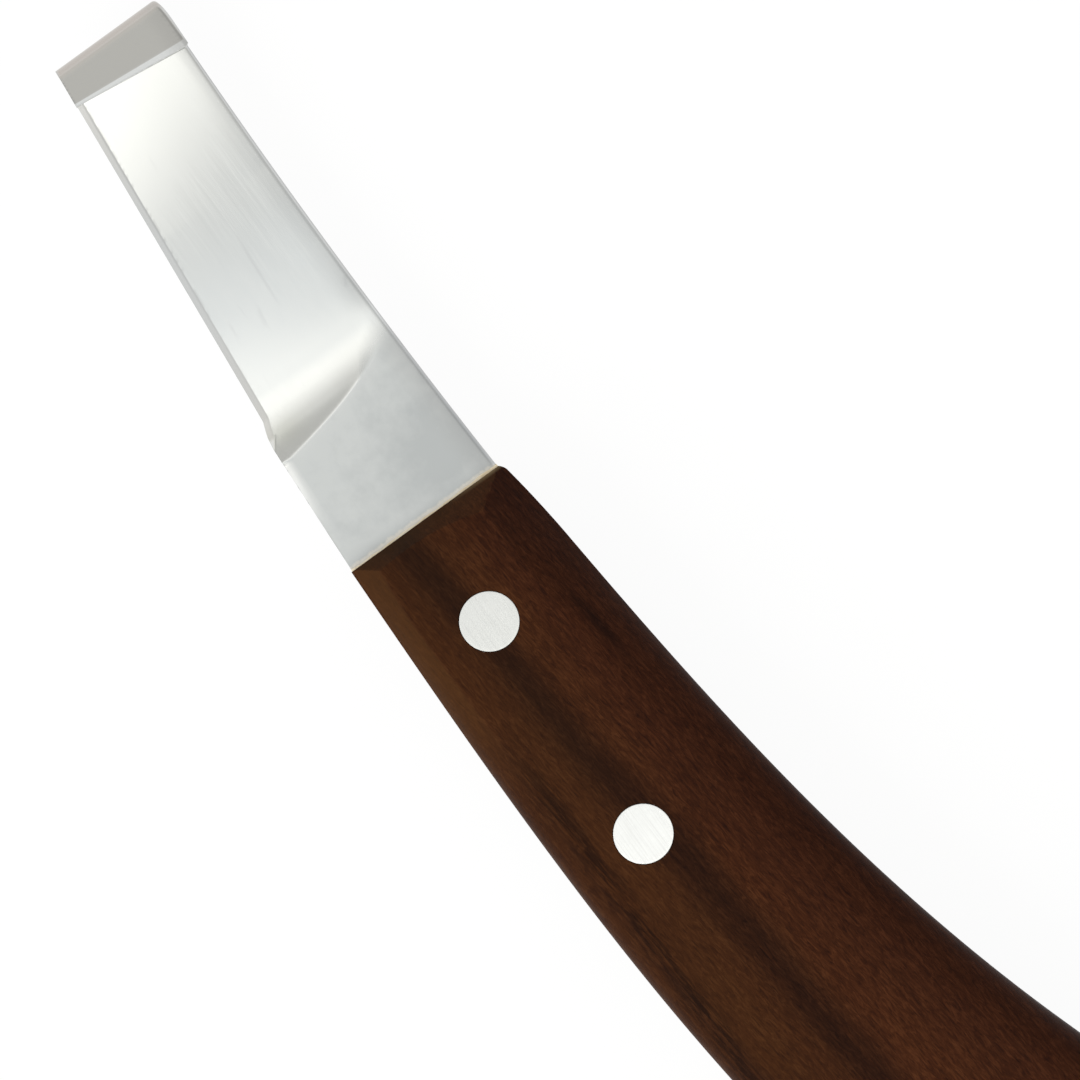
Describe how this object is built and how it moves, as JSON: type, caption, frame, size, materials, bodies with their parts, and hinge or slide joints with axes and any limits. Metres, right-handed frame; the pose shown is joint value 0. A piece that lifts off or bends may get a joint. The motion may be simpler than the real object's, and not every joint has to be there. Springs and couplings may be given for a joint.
{
  "type": "hoof knife",
  "caption": "Hoof knife: flat bowed steel blade with one sharpened side and a hooked tip, let into a swept wooden handle and held by flush rivets.",
  "frame": {"origin": "on the handle's flat back cheek, on the rivet line, midway between the rivets", "axes": "+X along the knife to the hooked tip, +Y to the cutting edge, +Z out of the front cheek, the side the hook curls to"},
  "size_m": [0.1978, 0.0441, 0.017],
  "materials": {
    "blade_steel": "satin ground steel with fine lengthwise scratches, honed edges",
    "handle_wood": "dark close-grained hardwood, oiled to a low sheen",
    "rivet_metal": "bright metal sanded flush, fine straight scratches"
  },
  "bodies": {
    "root": {"blade": "blade_steel", "handle": "handle_wood", "front_rivet_post": "rivet_metal", "front_rivet_sleeve": "rivet_metal", "rear_rivet_post": "rivet_metal", "rear_rivet_sleeve": "rivet_metal"}
  },
  "joints": []
}
